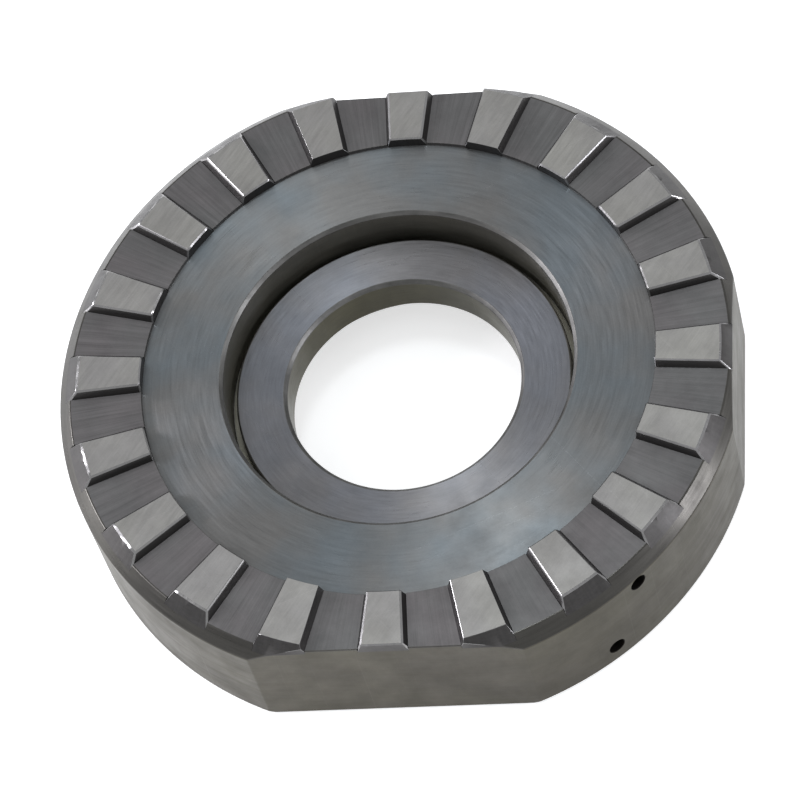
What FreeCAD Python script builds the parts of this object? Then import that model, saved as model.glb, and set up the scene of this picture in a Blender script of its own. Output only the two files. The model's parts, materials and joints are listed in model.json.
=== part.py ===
import FreeCAD, Part
import math
import os

# Face mill: a flat steel disc whose face carries a ring of brazed radial tips.
# A ring with the bore is pressed into a register in the middle of the disc,
# and two set screws in radial holes trim its balance in an upper and a lower plane.
# Frame: millimetres, +Z along the bore axis towards the tips, origin at the centre
# of the back face. +X points at the shallow flat, the main flats face +Y and -Y.

# ---------------------------------------------------------------- driving dimensions

# Disc
body_radius = 80.0
face_height = 30.0           # back face to the floor between the tips
main_flat_depth = 6.4        # each of the two main flats, in from the rim
side_flat_depth = 2.6        # the shallow flat on +X, in from the rim
rim_slope_run = 5.0          # the 45 degree slope at the outer ends of the tips
back_edge_chamfer = 0.6

# Tips
tip_count = 20
tip_height = 2.0             # above the floor between the tips
tip_length = 15.0            # along the top, from the inner end to the rim slope
tip_inner_width = 7.6        # across the top at the inner end
tip_outer_width = 9.9        # across the top where the rim slope starts
tip_flank_draft = 24.0       # degrees, each flank leans out towards its foot
tip_seat_depth = 1.2         # how far a tip is let into the disc
braze_gap = 0.05             # at the flanks and the inner end of a seat

# Middle of the disc
annulus_step = 1.0           # the plain annulus lies this far below the tip floor
counterbore_gap = 1.5        # counterbore wall to the pressed ring, radial
counterbore_edge_break = 0.8
ledge_width = 5.5            # ledge that the pressed ring rests on
rear_recess_depth = 9.6
register_length = 6.0        # stretch that grips the pressed ring
register_clearance = 0.01    # drawn clearance of the pressed ring, radial

# Pressed ring with the bore
ring_outer_radius = 39.5
ring_height = 10.4
bore_radius = 27.5
bore_edge_break = 0.8
ring_outer_edge_break = 0.4

# Balance screws and their radial holes
screw_radius = 2.0
screw_length = 8.0
screw_recess = 6.0           # below the rim, at rest
screw_end_chamfer = 0.4
screw_running_clearance = 0.05
screw_hole_depth = 20.0      # from the rim
socket_across_flats = 2.0
socket_depth = 2.5
upper_hole_angle = -45.4     # degrees from +X
upper_hole_drop = 2.2        # axis below the foot of the rim slope
lower_hole_angle = -52.0
lower_hole_height = 6.0      # axis above the back face

# ---------------------------------------------------------------- derived places

Z = FreeCAD.Vector(0, 0, 1)
ORIGIN = FreeCAD.Vector(0, 0, 0)
OVERRUN = 1.0                # how far a cutting tool runs past the surface it cuts

total_height = face_height + tip_height
slope_foot_height = total_height - rim_slope_run
main_flat_distance = body_radius - main_flat_depth
side_flat_distance = body_radius - side_flat_depth
tip_outer_radius = body_radius - rim_slope_run
tip_inner_radius = tip_outer_radius - tip_length
annulus_height = face_height - annulus_step
seat_floor_height = face_height - tip_seat_depth
register_top = rear_recess_depth + register_length
ring_top = rear_recess_depth + ring_height
register_radius = ring_outer_radius + register_clearance
counterbore_radius = ring_outer_radius + counterbore_gap
rear_recess_radius = ring_outer_radius - ledge_width
screw_hole_radius = screw_radius + screw_running_clearance
draft_run = tip_height * math.tan(math.radians(tip_flank_draft))
upper_hole_height = slope_foot_height - upper_hole_drop


def revolved(profile):
    """Full turn about Z of a closed profile of (radius, height) points."""
    points = [FreeCAD.Vector(radius, 0, height) for radius, height in profile]
    outline = Part.makePolygon(points + [points[0]])
    return Part.Face(outline).revolve(ORIGIN, Z, 360)


def cylinder_between(radius, low, high):
    """Upright cylinder on the axis from height low to height high."""
    return Part.makeCylinder(radius, high - low, FreeCAD.Vector(0, 0, low), Z)


def turned_about_axis(shape, degrees):
    """Copy of a shape turned about the axis."""
    turned = shape.copy()
    turned.rotate(ORIGIN, Z, degrees)
    return turned


def envelope():
    """Outer shape that disc and tips share: sloping rim edge and three flats."""
    blank = revolved([
        (0, 0),
        (body_radius - back_edge_chamfer, 0),
        (body_radius, back_edge_chamfer),
        (body_radius, slope_foot_height),
        (tip_outer_radius, total_height),
        (0, total_height),
    ])
    flats = Part.makeBox(
        body_radius + OVERRUN + side_flat_distance,
        2 * main_flat_distance,
        total_height + 2 * OVERRUN,
        FreeCAD.Vector(-body_radius - OVERRUN, -main_flat_distance, -OVERRUN),
    )
    return blank.common(flats)


def plan_outline(height, grow):
    """Plan of a tip on +X at one height, grown sideways by grow at each flank."""
    taper = (tip_outer_width - tip_inner_width) / tip_length
    inner_end = tip_inner_radius - OVERRUN
    outer_end = body_radius + OVERRUN
    inner_half = (tip_inner_width - OVERRUN * taper) / 2 + grow
    outer_half = (tip_inner_width + (outer_end - tip_inner_radius) * taper) / 2 + grow
    corners = [
        FreeCAD.Vector(inner_end, -inner_half, height),
        FreeCAD.Vector(outer_end, -outer_half, height),
        FreeCAD.Vector(outer_end, outer_half, height),
        FreeCAD.Vector(inner_end, inner_half, height),
    ]
    return Part.makePolygon(corners + [corners[0]])


def straight_prism(low, high, grow):
    """Upright prism on the plan of a tip."""
    return Part.Face(plan_outline(low, grow)).extrude(FreeCAD.Vector(0, 0, high - low))


def tip_blank():
    """One tip on +X before its outer end is cut to the envelope."""
    foot = straight_prism(seat_floor_height, face_height, draft_run)
    head = Part.makeLoft(
        [plan_outline(face_height, draft_run), plan_outline(total_height, 0)], True, True)
    hollow = cylinder_between(tip_inner_radius, 0, total_height + OVERRUN)
    return foot.fuse(head).removeSplitter().cut(hollow)


def tip_seat():
    """Pocket for one tip on +X, with the braze gap at its flanks and inner end."""
    pocket = straight_prism(seat_floor_height, total_height, draft_run + braze_gap)
    hollow = cylinder_between(tip_inner_radius - braze_gap, 0, total_height + OVERRUN)
    return pocket.cut(hollow)


def radial_rod(radius, inner_end, length, angle, height):
    """Cylinder along a radius of the disc."""
    start = FreeCAD.Vector(inner_end, 0, height)
    rod = Part.makeCylinder(radius, length, start, FreeCAD.Vector(1, 0, 0))
    return turned_about_axis(rod, angle)


def screw_hole(angle, height):
    """Radial blind hole for a balance screw, open at the rim."""
    bottom = body_radius - screw_hole_depth
    return radial_rod(screw_hole_radius, bottom, screw_hole_depth + OVERRUN, angle, height)


def cutter_body(outer):
    """The disc: annulus, tip seats, counterbore, register, rear recess, radial holes."""
    disc = outer.common(cylinder_between(body_radius + OVERRUN, -OVERRUN, face_height))
    middle = revolved([
        (0, -OVERRUN),
        (rear_recess_radius, -OVERRUN),
        (rear_recess_radius, rear_recess_depth),
        (register_radius, rear_recess_depth),
        (register_radius, register_top),
        (counterbore_radius, register_top),
        (counterbore_radius, annulus_height - counterbore_edge_break),
        (counterbore_radius + counterbore_edge_break, annulus_height),
        (tip_inner_radius, annulus_height),
        (tip_inner_radius, face_height + OVERRUN),
        (0, face_height + OVERRUN),
    ])
    disc = disc.cut(middle)
    seat = tip_seat()
    seats = [turned_about_axis(seat, index * 360 / tip_count) for index in range(tip_count)]
    disc = disc.cut(Part.makeCompound(seats))
    upper = screw_hole(upper_hole_angle, upper_hole_height)
    lower = screw_hole(lower_hole_angle, lower_hole_height)
    return disc.cut(Part.makeCompound([upper, lower]))


def hub_ring():
    """Ring with the bore, resting on the ledge above the rear recess."""
    return revolved([
        (bore_radius + bore_edge_break, rear_recess_depth),
        (ring_outer_radius - ring_outer_edge_break, rear_recess_depth),
        (ring_outer_radius, rear_recess_depth + ring_outer_edge_break),
        (ring_outer_radius, ring_top - ring_outer_edge_break),
        (ring_outer_radius - ring_outer_edge_break, ring_top),
        (bore_radius + bore_edge_break, ring_top),
        (bore_radius, ring_top - bore_edge_break),
        (bore_radius, rear_recess_depth + bore_edge_break),
    ])


def balance_screw(angle, height):
    """Socket set screw in a radial hole, its socket facing outwards."""
    outline = [
        FreeCAD.Vector(0, 0, 0),
        FreeCAD.Vector(screw_radius - screw_end_chamfer, 0, 0),
        FreeCAD.Vector(screw_radius, 0, screw_end_chamfer),
        FreeCAD.Vector(screw_radius, 0, screw_length - screw_end_chamfer),
        FreeCAD.Vector(screw_radius - screw_end_chamfer, 0, screw_length),
        FreeCAD.Vector(0, 0, screw_length),
    ]
    screw = Part.Face(Part.makePolygon(outline + [outline[0]])).revolve(ORIGIN, Z, 360)
    corner_radius = socket_across_flats / math.sqrt(3)
    corners = []
    for index in range(6):
        turn = math.radians(60 * index)
        corners.append(FreeCAD.Vector(
            corner_radius * math.cos(turn),
            corner_radius * math.sin(turn),
            screw_length - socket_depth,
        ))
    hexagon = Part.Face(Part.makePolygon(corners + [corners[0]]))
    screw = screw.cut(hexagon.extrude(FreeCAD.Vector(0, 0, socket_depth + OVERRUN)))
    screw.rotate(ORIGIN, FreeCAD.Vector(0, 1, 0), 90)
    inner_end = body_radius - screw_recess - screw_length
    screw.translate(FreeCAD.Vector(inner_end, 0, height))
    return turned_about_axis(screw, angle)


def main():
    os.makedirs("parts", exist_ok=True)
    outer = envelope()
    pieces = {
        "cutter_body": cutter_body(outer),
        "hub_ring": hub_ring(),
        "upper_balance_screw": balance_screw(upper_hole_angle, upper_hole_height),
        "lower_balance_screw": balance_screw(lower_hole_angle, lower_hole_height),
    }
    blank = tip_blank()
    for index in range(tip_count):
        tip = turned_about_axis(blank, index * 360 / tip_count).common(outer)
        pieces["tip_%02d" % (index + 1)] = tip
    for name, shape in pieces.items():
        if len(shape.Solids) == 1:
            shape = shape.Solids[0]
        shape.exportStep("parts/" + name + ".step")
        print(name, "solids", len(shape.Solids), "valid", shape.isValid(),
              "volume", round(shape.Volume, 1))


main()
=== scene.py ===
import json
import math

import bmesh
import bpy
from mathutils import Matrix, Vector


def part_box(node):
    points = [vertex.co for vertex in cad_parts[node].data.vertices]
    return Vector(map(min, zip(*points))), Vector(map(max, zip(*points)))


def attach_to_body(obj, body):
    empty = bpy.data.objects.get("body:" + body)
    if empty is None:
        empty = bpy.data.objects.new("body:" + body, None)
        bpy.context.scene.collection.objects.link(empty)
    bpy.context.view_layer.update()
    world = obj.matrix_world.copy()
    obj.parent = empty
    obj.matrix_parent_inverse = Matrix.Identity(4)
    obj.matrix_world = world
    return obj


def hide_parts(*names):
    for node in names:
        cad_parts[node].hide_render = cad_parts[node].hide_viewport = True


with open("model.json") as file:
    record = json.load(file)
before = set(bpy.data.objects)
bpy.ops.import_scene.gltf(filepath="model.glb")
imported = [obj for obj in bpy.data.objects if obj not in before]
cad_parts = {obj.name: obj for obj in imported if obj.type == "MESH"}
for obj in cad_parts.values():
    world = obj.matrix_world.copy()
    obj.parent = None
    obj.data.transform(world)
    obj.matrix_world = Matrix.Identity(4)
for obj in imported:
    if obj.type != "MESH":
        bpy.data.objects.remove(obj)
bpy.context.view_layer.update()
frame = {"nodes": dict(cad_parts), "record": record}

MM = 0.001

# Camera: a long lens looking down at the disc, rolled so that the axis leans left.
CAMERA_AZIMUTH = math.radians(-18.4)
CAMERA_ELEVATION = math.radians(58.55)
CAMERA_ROLL = math.radians(-18.6)
CAMERA_DISTANCE = 1.0052
CAMERA_LENS_MM = 194.5
CAMERA_SENSOR_MM = 36.0
CAMERA_AIM = Vector((-0.0014, -0.0020, 0.016))

# Fine shape that the CAD model leaves plain, in metres.
EDGE_ROUND = 0.30 * MM
TIP_EDGE_BREAK = 0.34 * MM
HOLE_MOUTH = 0.15 * MM
THREAD_PITCH = 0.70 * MM
THREAD_DEPTH = 0.38 * MM
THREAD_FLANK = 0.42          # of the pitch, from the root of the groove to its edge
SOCKET_MOUTH = 0.12 * MM
SOCKET_POINT = 0.3 * MM      # the drilled point below the socket
SHARP_ANGLE = math.radians(28)

# CAD sizes that the frame doesn't give, in metres.
BACK_CHAMFER = 0.6 * MM
COUNTERBORE_BREAK = 0.8 * MM
RING_EDGE_BREAK = 0.4 * MM
BORE_EDGE_BREAK = 0.8 * MM
SEAT_GAP = 0.05 * MM
HOLE_DEPTH = 20.0 * MM
HOLE_CLEARANCE = 0.05 * MM
SCREW_CHAMFER = 0.4 * MM
SOCKET_FLATS = 2.0 * MM
SOCKET_DEPTH = 2.5 * MM

# How finely round shapes are divided.
LATHE_COLUMNS = 300
HOLE_SIDES = 40
SCREW_SIDES = 36
SEAT_ARC_STEPS = 8
THREAD_STEPS = 10            # along the screw, for each turn of the thread

CLOSE = 1e-5                 # places nearer than this, in metres, count as the same
OVERRUN = 1 * MM             # how far a cutting shape runs past the surface it cuts

# Light: a bright room, and small boxes for the glints on the tip edges and the turned faces.
WORLD_COLOR = (0.96, 0.98, 1.0, 1.0)
WORLD_STRENGTH = 0.76
FLOOR_GLOW = 0.55
FLOOR_DROP = 0.5 * MM
LIGHTS = [  # name, direction, distance, size, watts, colour
    ("left_low", (-0.904, 0.255, 0.344), 1.2, (0.30, 0.15), 6.0, (0.95, 0.94, 1.0)),
    ("left_high", (-0.871, -0.018, 0.491), 1.2, (0.30, 0.15), 6.0, (0.95, 0.94, 1.0)),
    ("left_glow", (-0.992, 0.07, 0.10), 1.2, (0.34, 0.12), 0.8, (0.97, 0.97, 1.0)),
    ("right_strip", (0.926, -0.10, 0.372), 1.2, (0.10, 0.20), 4.6, (0.93, 0.94, 1.0)),
    ("top_box", (-0.01, 0.22, 0.97), 1.3, (0.22, 0.22), 2.2, (0.90, 0.96, 1.0)),
]


# ---------------------------------------------------------------- sizes read from the frame

def radius_of(point):
    return math.hypot(point[0], point[1])


def node_points(name):
    return [vertex.co.copy() for vertex in frame["nodes"][name].data.vertices]


def mount(name):
    return next(row for row in frame["record"]["mounts"] if row["name"] == name)


disc_low, disc_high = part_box("cutter_body")
ring_low, ring_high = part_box("hub_ring")
tip_points = node_points("tip_01")
disc_points = node_points("cutter_body")

BODY_RADIUS = -disc_low[0]
FACE_Z = disc_high[2]
SIDE_FLAT = disc_high[0]
MAIN_FLAT = disc_high[1]
TOP_Z = max(point[2] for point in tip_points)
SEAT_Z = min(point[2] for point in tip_points)
TIP_INNER = min(radius_of(point) for point in tip_points)
TIP_OUTER = max(radius_of(p) for p in node_points("tip_02") if p[2] > TOP_Z - CLOSE)
SLOPE_RUN = BODY_RADIUS - TIP_OUTER
SLOPE_FOOT_Z = TOP_Z - SLOPE_RUN
SLOPE_TOP_RADIUS = TIP_OUTER + (TOP_Z - FACE_Z)
RING_RADIUS = ring_high[0]
BORE_RADIUS = mount("bore")["dims"]["r_mm"] * MM
RECESS_RADIUS = mount("rear_recess")["dims"]["r_mm"] * MM
RECESS_DEPTH = ring_low[2]
inside = [p for p in disc_points if radius_of(p) < TIP_INNER - 1e-4]
ANNULUS_Z = max(point[2] for point in inside)
COUNTERBORE_MOUTH = min(radius_of(p) for p in inside if p[2] > ANNULUS_Z - CLOSE)
COUNTERBORE_RADIUS = COUNTERBORE_MOUTH - COUNTERBORE_BREAK
REGISTER_RADIUS = min(radius_of(p) for p in inside if abs(p[2] - RECESS_DEPTH) < CLOSE
                      and radius_of(p) > RECESS_RADIUS + 1e-4)
REGISTER_TOP = min(p[2] for p in inside if abs(radius_of(p) - COUNTERBORE_RADIUS) < 2 * CLOSE)

FLATS = ((0.0, SIDE_FLAT), (90.0, MAIN_FLAT), (270.0, MAIN_FLAT))  # facing in degrees, distance


# ---------------------------------------------------------------- mesh helpers

def new_object(name, mesh, materials):
    for material in materials:
        mesh.materials.append(material)
    piece = bpy.data.objects.new(name, mesh)
    bpy.context.scene.collection.objects.link(piece)
    return piece


def to_mesh(bm, name):
    bmesh.ops.recalc_face_normals(bm, faces=bm.faces)
    mesh = bpy.data.meshes.new(name)
    bm.to_mesh(mesh)
    bm.free()
    return mesh


def finished_mesh(piece):
    """The piece's mesh with its modifiers applied, and the modifiers removed."""
    graph = bpy.context.evaluated_depsgraph_get()
    mesh = bpy.data.meshes.new_from_object(piece.evaluated_get(graph))
    piece.modifiers.clear()
    piece.data = mesh
    return mesh


def smooth(piece):
    """Smooth shading that breaks at real edges."""
    piece.data.shade_smooth()
    piece.data.set_sharp_from_angle(angle=SHARP_ANGLE)
    weighted = piece.modifiers.new("weighted", "WEIGHTED_NORMAL")
    weighted.keep_sharp = True
    finished_mesh(piece)


def attach(piece, body, slot, *nodes):
    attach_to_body(piece, body)
    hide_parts(*nodes)


def lathe(bm, columns, profile_at, regions):
    """Closed lathe: profile_at(angle) gives the (radius, height) corners of one section."""
    rings = []
    for angle in columns:
        profile = profile_at(angle)
        rings.append([bm.verts.new((r * math.cos(angle), r * math.sin(angle), z))
                      for r, z in profile])
    count = len(rings[0])
    for index, ring in enumerate(rings):
        following = rings[(index + 1) % len(rings)]
        for step in range(count):
            onward = (step + 1) % count
            face = bm.faces.new((ring[step], ring[onward], following[onward], following[step]))
            face.material_index = regions[step]
    bmesh.ops.remove_doubles(bm, verts=bm.verts, dist=1e-7)
    bmesh.ops.dissolve_degenerate(bm, edges=bm.edges, dist=1e-7)


def mark_round_edges(bm, weight_at):
    """Bevel weight on every real edge, from the place of its middle."""
    layer = bm.edges.layers.float.new("bevel_weight_edge")
    for edge in bm.edges:
        if len(edge.link_faces) == 2 and edge.calc_face_angle(0.0) > math.radians(10):
            middle = (edge.verts[0].co + edge.verts[1].co) / 2
            edge[layer] = weight_at(radius_of(middle), middle.z)


def round_edges(piece, width, material_index):
    bevel = piece.modifiers.new("round", "BEVEL")
    bevel.width = width
    bevel.segments = 2
    bevel.limit_method = "WEIGHT"
    bevel.use_clamp_overlap = False
    bevel.material = material_index
    finished_mesh(piece)


# ---------------------------------------------------------------- material helpers

class Graph:
    """Short names for the nodes that the materials share."""

    def __init__(self, name):
        self.material = bpy.data.materials.new(name)
        self.material.use_nodes = True
        self.tree = self.material.node_tree
        self.shader = self.tree.nodes["Principled BSDF"]
        place = self.node("ShaderNodeTexCoord").outputs["Object"]
        split = self.node("ShaderNodeSeparateXYZ")
        self.link(place, split.inputs[0])
        self.place = place
        self.x, self.y, self.z = split.outputs
        squares = self.math("ADD", self.math("MULTIPLY", self.x, self.x),
                            self.math("MULTIPLY", self.y, self.y))
        self.radius = self.math("MAXIMUM", self.math("SQRT", squares), 1e-4)
        self.cosine = self.math("DIVIDE", self.x, self.radius)
        self.sine = self.math("DIVIDE", self.y, self.radius)

    def node(self, kind):
        return self.tree.nodes.new(kind)

    def link(self, value, socket):
        if isinstance(value, (int, float)):
            socket.default_value = value
        else:
            self.tree.links.new(value, socket)

    def math(self, operation, first, second=0.0, clamp=False):
        node = self.node("ShaderNodeMath")
        node.operation = operation
        node.use_clamp = clamp
        self.link(first, node.inputs[0])
        self.link(second, node.inputs[1])
        return node.outputs[0]

    def vector(self, x, y, z):
        node = self.node("ShaderNodeCombineXYZ")
        for value, socket in zip((x, y, z), node.inputs):
            self.link(value, socket)
        return node.outputs[0]

    def scaled(self, value, factor):
        return self.math("MULTIPLY", value, factor)

    def noise(self, vector, scale=1.0, detail=2.0, roughness=0.5):
        node = self.node("ShaderNodeTexNoise")
        self.link(vector, node.inputs["Vector"])
        node.inputs["Scale"].default_value = scale
        node.inputs["Detail"].default_value = detail
        node.inputs["Roughness"].default_value = roughness
        return node.outputs["Fac"]

    def spread(self, value, low, high, to_low, to_high):
        node = self.node("ShaderNodeMapRange")
        self.link(value, node.inputs["Value"])
        for name, number in (("From Min", low), ("From Max", high),
                             ("To Min", to_low), ("To Max", to_high)):
            node.inputs[name].default_value = number
        return node.outputs["Result"]

    def mix(self, factor, first, second, blend="MIX"):
        node = self.node("ShaderNodeMix")
        node.data_type = "RGBA"
        node.blend_type = blend
        self.link(factor, node.inputs[0])
        for value, socket in ((first, node.inputs[6]), (second, node.inputs[7])):
            if isinstance(value, tuple):
                socket.default_value = (*value, 1.0)
            else:
                self.tree.links.new(value, socket)
        return node.outputs[2]

    def turned(self, pitch_mm, along=6.0):
        """Marks that run round the axis, on a face that lies flat."""
        return self.vector(self.scaled(self.radius, 1000 / pitch_mm),
                           self.scaled(self.cosine, along), self.scaled(self.sine, along))

    def hooped(self, pitch_mm, along=6.0):
        """Marks that run round the axis, on a standing wall."""
        return self.vector(self.scaled(self.z, 1000 / pitch_mm),
                           self.scaled(self.cosine, along), self.scaled(self.sine, along))

    def rayed(self, pitch_mm, along=60.0):
        """Marks that run out from the axis."""
        return self.vector(self.scaled(self.cosine, 70 / pitch_mm),
                           self.scaled(self.sine, 70 / pitch_mm), self.scaled(self.radius, along))

    def crossed(self, pitch_mm, degrees, along=60.0):
        """Straight marks in one direction across the face."""
        turn = math.radians(degrees)
        across = self.math("ADD", self.scaled(self.x, -math.sin(turn)),
                           self.scaled(self.y, math.cos(turn)))
        onward = self.math("ADD", self.scaled(self.x, math.cos(turn)),
                           self.scaled(self.y, math.sin(turn)))
        return self.vector(self.scaled(across, 1000 / pitch_mm),
                           self.scaled(onward, along), self.scaled(self.z, along))


def steel(name, color, tint, marks, roughness=0.38, contrast=0.16, blotch=0.14, bump_um=9.0,
          scratches=0.10, anisotropic=0.0, metallic=0.92):
    """Machined steel: tool marks, soft stains in a second tint, fine scratches and grime.

    marks(graph) returns the vectors of the coarse and the fine tool marks."""
    graph = Graph(name)
    coarse_vector, fine_vector = marks(graph)
    coarse = graph.noise(coarse_vector, detail=2.0)
    fine = graph.noise(fine_vector, detail=3.0, roughness=0.6)
    grain = graph.noise(graph.place, scale=2600.0, detail=2.0)
    cloud = graph.noise(graph.place, scale=38.0, detail=3.0, roughness=0.55)
    stain = graph.noise(graph.place, scale=95.0, detail=4.0, roughness=0.62)
    hairs = [graph.noise(graph.crossed(0.16, angle, 9.0), detail=1.0) for angle in (24.0, 131.0)]
    scratch = graph.math("MAXIMUM", graph.spread(hairs[0], 0.70, 0.80, 0.0, 1.0),
                         graph.spread(hairs[1], 0.71, 0.81, 0.0, 1.0))
    tinted = graph.mix(graph.spread(cloud, 0.38, 0.64, 0.0, 1.0), color, tint)
    line = graph.math("ADD", graph.spread(coarse, 0.3, 0.7, -0.5, 0.5),
                      graph.spread(fine, 0.3, 0.7, -0.5, 0.5))
    value = graph.math("ADD", 1.0, graph.scaled(line, contrast))
    value = graph.math("ADD", value, graph.spread(stain, 0.3, 0.7, -blotch, blotch))
    value = graph.math("ADD", value, graph.spread(grain, 0.3, 0.7, -0.03, 0.03))
    value = graph.math("ADD", value, graph.scaled(scratch, scratches))
    shade = graph.node("ShaderNodeCombineColor")
    for socket in shade.inputs:
        graph.link(value, socket)
    graph.link(graph.mix(1.0, tinted, shade.outputs[0], "MULTIPLY"),
               graph.shader.inputs["Base Color"])
    rough = graph.math("ADD", roughness, graph.scaled(line, 0.07))
    rough = graph.math("ADD", rough, graph.spread(stain, 0.3, 0.7, 0.06, -0.06))
    graph.link(graph.math("SUBTRACT", rough, graph.scaled(scratch, 0.08)),
               graph.shader.inputs["Roughness"])
    height = graph.math("ADD", graph.scaled(coarse, 0.5), graph.scaled(fine, 0.5))
    height = graph.math("ADD", height, graph.scaled(grain, 0.25))
    height = graph.math("SUBTRACT", height, graph.scaled(scratch, 3.0 * scratches))
    bump = graph.node("ShaderNodeBump")
    bump.inputs["Strength"].default_value = 1.0
    bump.inputs["Distance"].default_value = bump_um * 1e-6
    graph.link(height, bump.inputs["Height"])
    graph.link(bump.outputs[0], graph.shader.inputs["Normal"])
    graph.shader.inputs["Metallic"].default_value = metallic
    if anisotropic:
        graph.shader.inputs["Anisotropic"].default_value = anisotropic
        graph.shader.inputs["Anisotropic Rotation"].default_value = 0.25
        tangent = graph.node("ShaderNodeTangent")
        tangent.direction_type = "RADIAL"
        tangent.axis = "Z"
        graph.link(tangent.outputs[0], graph.shader.inputs["Tangent"])
    return graph.material


# ---------------------------------------------------------------- materials

annulus_steel = steel(
    "annulus_steel", (0.150, 0.168, 0.180), (0.165, 0.162, 0.158),
    lambda g: (g.turned(0.9), g.turned(0.28)), roughness=0.36, contrast=0.13,
    blotch=0.07, bump_um=7.0, anisotropic=0.8)
floor_steel = steel(
    "floor_steel", (0.116, 0.114, 0.113), (0.123, 0.114, 0.115),
    lambda g: (g.rayed(0.8), g.rayed(0.25)), roughness=0.46, contrast=0.20,
    blotch=0.12, bump_um=10.0, scratches=0.08)
rim_steel = steel(
    "rim_steel", (0.067, 0.061, 0.045), (0.061, 0.055, 0.043),
    lambda g: (g.hooped(1.1, 4.0), g.hooped(0.3, 5.0)), roughness=0.42, contrast=0.10,
    blotch=0.13, bump_um=7.0, scratches=0.0)
slope_steel = steel(
    "slope_steel", (0.070, 0.067, 0.061), (0.060, 0.057, 0.053),
    lambda g: (g.turned(0.9), g.hooped(0.35, 5.0)), roughness=0.33, contrast=0.14,
    blotch=0.12, bump_um=7.0)
wall_steel = steel(
    "wall_steel", (0.200, 0.190, 0.155), (0.165, 0.158, 0.135),
    lambda g: (g.hooped(0.7, 4.0), g.hooped(0.22, 5.0)), roughness=0.42, contrast=0.14,
    blotch=0.10, bump_um=8.0)
edge_steel = steel(
    "edge_steel", (0.140, 0.138, 0.134), (0.112, 0.110, 0.105),
    lambda g: (g.turned(0.6), g.hooped(0.4, 9.0)), roughness=0.48, contrast=0.18,
    blotch=0.30, bump_um=5.0)
# Seat and hole walls: near-black, painted shade in the recesses rather than the steel's own
# colour.
recess_painted_shade = steel(
    "recess_painted_shade", (0.012, 0.011, 0.010), (0.018, 0.015, 0.012),
    lambda g: (g.crossed(0.5, 12.0), g.crossed(0.2, 80.0)), roughness=0.6, contrast=0.2,
    blotch=0.3, bump_um=12.0)
back_steel = steel(
    "back_steel", (0.150, 0.150, 0.146), (0.135, 0.140, 0.145),
    lambda g: (g.crossed(0.9, 35.0, 20.0), g.crossed(0.3, 35.0, 30.0)), roughness=0.36,
    contrast=0.16, blotch=0.10, bump_um=7.0)
tip_steel = steel(
    "tip_steel", (0.254, 0.246, 0.230), (0.242, 0.233, 0.226),
    lambda g: (g.crossed(1.0, 58.0, 90.0), g.crossed(0.3, 58.0, 160.0)), roughness=0.44,
    contrast=0.12, blotch=0.12, bump_um=7.0, scratches=0.12)
# Standing sides of the tips: about four times darker than the tops, painted shade for the dark
# bands beside the tips.
flank_painted_shade = steel(
    "flank_painted_shade", (0.064, 0.061, 0.060), (0.052, 0.050, 0.049),
    lambda g: (g.rayed(0.7, 30.0), g.hooped(0.3, 40.0)), roughness=0.40, contrast=0.16,
    blotch=0.14, bump_um=8.0)
tip_edge_steel = steel(
    "tip_edge_steel", (0.275, 0.268, 0.270), (0.240, 0.234, 0.230),
    lambda g: (g.rayed(0.9, 200.0), g.rayed(0.4, 400.0)), roughness=0.24, contrast=0.12,
    blotch=0.12, bump_um=2.0)
ring_steel = steel(
    "ring_steel", (0.180, 0.187, 0.206), (0.192, 0.187, 0.190),
    lambda g: (g.turned(0.6), g.turned(0.2)), roughness=0.34, contrast=0.14,
    blotch=0.10, bump_um=7.0, anisotropic=0.8)
bore_steel = steel(
    "bore_steel", (0.058, 0.054, 0.033), (0.044, 0.041, 0.027),
    lambda g: (g.hooped(0.5, 4.0), g.hooped(0.18, 5.0)), roughness=0.36, contrast=0.22,
    blotch=0.14, bump_um=8.0)
black_screw = steel(
    "black_screw", (0.030, 0.029, 0.028), (0.045, 0.040, 0.036),
    lambda g: (g.crossed(0.5, 40.0), g.crossed(0.2, 95.0)), roughness=0.42, contrast=0.2,
    blotch=0.3, bump_um=6.0, metallic=0.6)


# ---------------------------------------------------------------- disc

def flat_radius(angle):
    """Distance from the axis to the flats along one direction."""
    reach = 1.0
    for direction, distance in FLATS:
        facing = math.cos(angle - math.radians(direction))
        if facing > 0.05:
            reach = min(reach, distance / facing)
    return reach


def disc_profile(angle):
    reach = flat_radius(angle)
    rim = min(BODY_RADIUS, reach)
    slope_top = min(SLOPE_TOP_RADIUS, reach)
    slope_z = FACE_Z - max(0.0, rim - SLOPE_TOP_RADIUS)
    back = min(BODY_RADIUS - BACK_CHAMFER, reach)
    return [
        (COUNTERBORE_RADIUS + COUNTERBORE_BREAK, ANNULUS_Z),
        (TIP_INNER, ANNULUS_Z),
        (TIP_INNER, FACE_Z),
        (slope_top, FACE_Z),
        (rim, slope_z),
        (rim, rim - back),
        (back, 0.0),
        (RECESS_RADIUS, 0.0),
        (RECESS_RADIUS, RECESS_DEPTH),
        (REGISTER_RADIUS, RECESS_DEPTH),
        (REGISTER_RADIUS, REGISTER_TOP),
        (COUNTERBORE_RADIUS, REGISTER_TOP),
        (COUNTERBORE_RADIUS, ANNULUS_Z - COUNTERBORE_BREAK),
    ]


def even_columns():
    return [2 * math.pi * index / LATHE_COLUMNS for index in range(LATHE_COLUMNS)]


def disc_columns():
    """Even columns, with one at every corner that a flat makes."""
    special = []
    for direction, distance in FLATS:
        for radius in (BODY_RADIUS, BODY_RADIUS - BACK_CHAMFER, SLOPE_TOP_RADIUS):
            if radius <= distance:
                continue
            half = math.acos(distance / radius)
            for sign in (-1, 1):
                special.append((math.radians(direction) + sign * half) % (2 * math.pi))
    spacing = math.radians(0.45)
    kept = [angle for angle in even_columns()
            if all(abs(angle - other) > spacing for other in special)]
    return sorted(kept + special)


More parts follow.
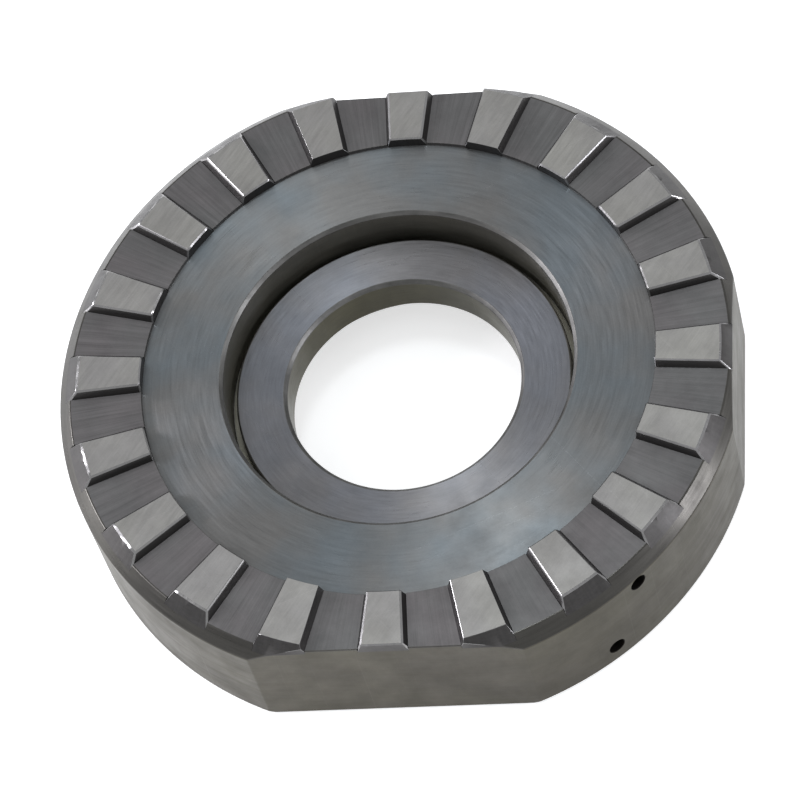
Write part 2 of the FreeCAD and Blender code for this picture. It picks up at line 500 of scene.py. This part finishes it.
def disc_edge_weight(radius, height):
    if abs(radius - TIP_INNER) < 0.2 * MM:
        return 0.25
    if radius < COUNTERBORE_RADIUS + 1.2 * MM and height > REGISTER_TOP:
        return 0.35
    if radius < COUNTERBORE_RADIUS + 1.2 * MM:
        return 0.3
    if height < 1.0 * MM:
        return 0.5
    return 1.0


FACE_NAMES = ("annulus", "step", "floor", "slope", "rim", "chamfer", "back", "recess",
              "ledge", "register", "shelf", "counterbore", "break")
DISC_MATERIALS = [annulus_steel, floor_steel, rim_steel, wall_steel, edge_steel,
                  recess_painted_shade, back_steel, slope_steel]
DISC_REGION = {"annulus": 0, "step": 1, "floor": 1, "slope": 7, "rim": 2, "chamfer": 2,
               "back": 6, "recess": 3, "ledge": 3, "register": 3, "shelf": 3,
               "counterbore": 3, "break": 4}


def prism(bm, outline, low, high, material_index):
    lower = [bm.verts.new((x, y, low)) for x, y in outline]
    upper = [bm.verts.new((x, y, high)) for x, y in outline]
    faces = [bm.faces.new(list(reversed(lower))), bm.faces.new(upper)]
    for index in range(len(outline)):
        onward = (index + 1) % len(outline)
        faces.append(bm.faces.new((lower[index], lower[onward], upper[onward], upper[index])))
    for face in faces:
        face.material_index = material_index


def seat_outline():
    """Plan of one seat on +X: the foot of a tip, grown by the gap."""
    foot = [p for p in node_points("tip_02") if p[2] < SEAT_Z + CLOSE]
    back_turn = Matrix.Rotation(-2 * math.pi / TIP_COUNT, 3, "Z")
    foot = [back_turn @ Vector(p) for p in foot]
    inner = max((p for p in foot if radius_of(p) < TIP_INNER + CLOSE), key=lambda p: p.y)
    outer = max(foot, key=lambda p: p.y)
    taper = (outer.y - inner.y) / (outer.x - inner.x)
    arc = TIP_INNER - SEAT_GAP
    half = inner.y + SEAT_GAP - taper * SEAT_GAP
    end = BODY_RADIUS + OVERRUN
    end_half = inner.y + SEAT_GAP + taper * (end - inner.x)
    points = [(end, -end_half), (end, end_half)]
    for step in range(SEAT_ARC_STEPS + 1):
        y = half * (1 - 2 * step / SEAT_ARC_STEPS)
        points.append((math.sqrt(arc * arc - y * y), y))
    return points


def screw_axis(node):
    """Middle of a screw in plan direction and height, and its ends along the radius."""
    low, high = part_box(node)
    middle = (Vector(low) + Vector(high)) / 2
    outward = Vector((middle.x, middle.y, 0)).normalized()
    reach = [Vector(p).dot(outward) for p in node_points(node)]
    return outward, middle.z, min(reach), max(reach)


def rod(bm, outward, height, sections, material_index):
    """Closed round bar along a radius, from (distance, radius) sections."""
    across = Vector((0, 0, 1)).cross(outward)
    rings = []
    for distance, radius in sections:
        ring = []
        for index in range(HOLE_SIDES):
            turn = 2 * math.pi * index / HOLE_SIDES
            point = outward * distance + across * (radius * math.cos(turn))
            ring.append(bm.verts.new(point + Vector((0, 0, height + radius * math.sin(turn)))))
        rings.append(ring)
    faces = [bm.faces.new(rings[0]), bm.faces.new(list(reversed(rings[-1])))]
    for ring, following in zip(rings, rings[1:]):
        for index in range(HOLE_SIDES):
            onward = (index + 1) % HOLE_SIDES
            faces.append(bm.faces.new((ring[index], following[index],
                                       following[onward], ring[onward])))
    for face in faces:
        face.material_index = material_index


TIP_COUNT = sum(1 for name in frame["nodes"] if name.startswith("tip_"))
SCREW_NODES = {"upper_screw": "upper_balance_screw", "lower_screw": "lower_balance_screw"}
screw_low, screw_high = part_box("upper_balance_screw")
SCREW_RADIUS = (screw_high[2] - screw_low[2]) / 2


def cut_seats_and_holes(disc):
    """Take the tip seats and the screw holes out of the disc; the cut walls get a near-black
    colour, which is painted shade in these recesses.
    """
    painted_shade_index = DISC_MATERIALS.index(recess_painted_shade)
    cutter = bmesh.new()
    outline = seat_outline()
    for index in range(TIP_COUNT):
        turn = 2 * math.pi * index / TIP_COUNT
        cosine, sine = math.cos(turn), math.sin(turn)
        turned = [(x * cosine - y * sine, x * sine + y * cosine) for x, y in outline]
        prism(cutter, turned, SEAT_Z, TOP_Z + OVERRUN, painted_shade_index)
    hole_radius = SCREW_RADIUS + HOLE_CLEARANCE
    for node in SCREW_NODES.values():
        outward, height, _, _ = screw_axis(node)
        rod(cutter, outward, height, [
            (BODY_RADIUS - HOLE_DEPTH, hole_radius),
            (BODY_RADIUS - HOLE_MOUTH, hole_radius),
            (BODY_RADIUS, hole_radius + HOLE_MOUTH),
            (BODY_RADIUS + OVERRUN, hole_radius + HOLE_MOUTH),
        ], painted_shade_index)
    tool = new_object("cutter", to_mesh(cutter, "cutter"), DISC_MATERIALS)
    cut = disc.modifiers.new("cut", "BOOLEAN")
    cut.operation = "DIFFERENCE"
    cut.solver = "MANIFOLD"
    cut.object = tool
    finished_mesh(disc)
    bpy.data.objects.remove(tool)


def make_disc():
    """The disc, turned in one piece and then cut; its outer edges keep the steel beside them."""
    bm = bmesh.new()
    lathe(bm, disc_columns(), disc_profile, [DISC_REGION[name] for name in FACE_NAMES])
    mark_round_edges(bm, disc_edge_weight)
    disc = new_object("disc_machined", to_mesh(bm, "disc_machined"), DISC_MATERIALS)
    edge = DISC_MATERIALS.index(edge_steel)
    round_edges(disc, EDGE_ROUND, edge)
    cut_seats_and_holes(disc)
    for face in disc.data.polygons:
        if face.material_index == edge and radius_of(face.center) > TIP_INNER:
            upper = face.center.z > SLOPE_FOOT_Z
            face.material_index = DISC_MATERIALS.index(slope_steel if upper else rim_steel)
    smooth(disc)
    attach(disc, "disc", "body_steel", "cutter_body")


def make_ring():
    """Bore ring: the CAD section with finely rounded edges."""
    edge, bore_edge = RING_EDGE_BREAK, BORE_EDGE_BREAK
    low, high = RECESS_DEPTH, ring_high[2]
    section = [
        (BORE_RADIUS + bore_edge, high),
        (RING_RADIUS - edge, high),
        (RING_RADIUS, high - edge),
        (RING_RADIUS, low + edge),
        (RING_RADIUS - edge, low),
        (BORE_RADIUS + bore_edge, low),
        (BORE_RADIUS, low + bore_edge),
        (BORE_RADIUS, high - bore_edge),
    ]
    face, wall, corner = range(3)
    regions = [face, corner, wall, corner, face, corner, wall, corner]
    bm = bmesh.new()
    lathe(bm, even_columns(), lambda angle: section, regions)
    mark_round_edges(bm, lambda radius, height: 0.4)
    ring = new_object("bore_ring_turned", to_mesh(bm, "bore_ring_turned"),
                      [ring_steel, bore_steel, edge_steel])
    round_edges(ring, EDGE_ROUND, corner)
    smooth(ring)
    attach(ring, "disc", "ring_steel", "hub_ring")


def make_tip(node):
    """One tip: the CAD solid with a narrow break on its standing and upper edges."""
    bm = bmesh.new()
    bm.from_mesh(frame["nodes"][node].data)
    bmesh.ops.remove_doubles(bm, verts=bm.verts, dist=1e-6)
    bmesh.ops.dissolve_limit(bm, angle_limit=math.radians(0.5), verts=bm.verts, edges=bm.edges)
    # The standing sides take the dark flank colour, which is painted shade.
    top, painted_shade_side, edge_break = range(3)
    for face in bm.faces:
        face.material_index = top if face.normal.z > 0.98 else painted_shade_side
    edges = [edge for edge in bm.edges
             if len(edge.link_faces) == 2 and edge.calc_face_angle(0.0) > math.radians(20)
             and (edge.verts[0].co.z + edge.verts[1].co.z) / 2 > FACE_Z]
    bmesh.ops.bevel(bm, geom=edges, offset=TIP_EDGE_BREAK, offset_type="OFFSET", segments=1,
                    profile=0.5, affect="EDGES", clamp_overlap=True, material=edge_break)
    tip = new_object(node + "_ground", to_mesh(bm, node + "_ground"),
                     [tip_steel, flank_painted_shade, tip_edge_steel])
    smooth(tip)
    attach(tip, "disc", "tip_face", node)


def make_screw(body, node):
    """Set screw with a cut thread, flat ends and a hexagon socket facing outwards."""
    outward, height, start, end = screw_axis(node)
    across = Vector((0, 0, 1)).cross(outward)
    length = end - start
    steps = int(length / THREAD_PITCH * THREAD_STEPS)
    bm = bmesh.new()

    def place(distance, radius, turn):
        spot = outward * (start + distance) + across * (radius * math.cos(turn))
        return bm.verts.new(spot + Vector((0, 0, height + radius * math.sin(turn))))

    def bridge(ring, following):
        for index in range(SCREW_SIDES):
            onward = (index + 1) % SCREW_SIDES
            bm.faces.new((ring[index], following[index], following[onward], ring[onward]))

    turns = [2 * math.pi * index / SCREW_SIDES for index in range(SCREW_SIDES)]
    rings = []
    for step in range(steps + 1):
        distance = length * step / steps
        inset = max(0.0, SCREW_CHAMFER - distance, SCREW_CHAMFER - (length - distance))
        ring = []
        for turn in turns:
            phase = (distance / THREAD_PITCH - turn / (2 * math.pi)) % 1.0
            groove = max(0.0, 1 - abs(phase - 0.5) / THREAD_FLANK) * THREAD_DEPTH
            ring.append(place(distance, SCREW_RADIUS - max(groove, inset), turn))
        rings.append(ring)
    hexagon = []
    for turn in turns:
        facet = (turn + math.pi / 6) % (math.pi / 3) - math.pi / 6
        hexagon.append(SOCKET_FLATS / 2 / math.cos(facet))
    for distance, grow in ((length, SOCKET_MOUTH), (length - SOCKET_MOUTH, 0.0),
                           (length - SOCKET_DEPTH, 0.0)):
        rings.append([place(distance, size + grow, turn) for size, turn in zip(hexagon, turns)])
    point = length - SOCKET_DEPTH - SOCKET_POINT
    rings.append([place(point, 0.2 * MM, turn) for turn in turns])
    for ring, following in zip(rings, rings[1:]):
        bridge(ring, following)
    bm.faces.new(rings[0])
    bm.faces.new(rings[-1])
    screw = new_object(body + "_threaded", to_mesh(bm, body + "_threaded"), [black_screw])
    smooth(screw)
    attach(screw, body, "screw_steel", node)


# ---------------------------------------------------------------- camera, floor and light

def add_camera():
    data = bpy.data.cameras.new("camera")
    data.lens = CAMERA_LENS_MM
    data.sensor_width = CAMERA_SENSOR_MM
    camera = bpy.data.objects.new("camera", data)
    forward = Vector((
        math.sin(CAMERA_AZIMUTH) * math.cos(CAMERA_ELEVATION),
        math.cos(CAMERA_AZIMUTH) * math.cos(CAMERA_ELEVATION),
        -math.sin(CAMERA_ELEVATION),
    ))
    level_right = Vector((math.cos(CAMERA_AZIMUTH), -math.sin(CAMERA_AZIMUTH), 0))
    level_up = level_right.cross(forward)
    right = level_right * math.cos(CAMERA_ROLL) + level_up * math.sin(CAMERA_ROLL)
    up = level_up * math.cos(CAMERA_ROLL) - level_right * math.sin(CAMERA_ROLL)
    place = Matrix((right, up, -forward)).transposed().to_4x4()
    place.translation = CAMERA_AIM - forward * CAMERA_DISTANCE
    camera.matrix_world = place
    bpy.context.scene.collection.objects.link(camera)
    bpy.context.scene.camera = camera


def add_floor():
    bm = bmesh.new()
    bmesh.ops.create_grid(bm, x_segments=2, y_segments=2, size=4.0)
    mesh = bpy.data.meshes.new("floor")
    bm.to_mesh(mesh)
    bm.free()
    graph = Graph("pale_floor")
    paper = graph.noise(graph.place, scale=400.0, detail=2.0)
    graph.link(graph.mix(paper, (0.86, 0.86, 0.86), (0.90, 0.90, 0.90)),
               graph.shader.inputs["Base Color"])
    graph.shader.inputs["Roughness"].default_value = 0.9
    graph.shader.inputs["Emission Color"].default_value = (1.0, 1.0, 1.0, 1.0)
    graph.shader.inputs["Emission Strength"].default_value = FLOOR_GLOW
    floor = new_object("floor", mesh, [graph.material])
    floor.location.z = -FLOOR_DROP


def add_light(name, direction, distance, size, energy, color):
    data = bpy.data.lights.new(name, "AREA")
    data.shape = "RECTANGLE"
    data.size, data.size_y = size
    data.energy = energy
    data.color = color
    light = bpy.data.objects.new(name, data)
    towards = Vector(direction).normalized()
    light.location = towards * distance
    light.rotation_euler = (-towards).to_track_quat("-Z", "Y").to_euler()
    bpy.context.scene.collection.objects.link(light)


def add_world():
    world = bpy.data.worlds.new("studio")
    world.use_nodes = True
    background = world.node_tree.nodes["Background"]
    background.inputs[0].default_value = WORLD_COLOR
    background.inputs[1].default_value = WORLD_STRENGTH
    bpy.context.scene.world = world


make_disc()
make_ring()
for number in range(1, TIP_COUNT + 1):
    make_tip("tip_%02d" % number)
for body, node in SCREW_NODES.items():
    make_screw(body, node)

add_camera()
add_floor()
add_world()
for light in LIGHTS:
    add_light(*light)
bpy.context.scene.view_settings.view_transform = "Standard"
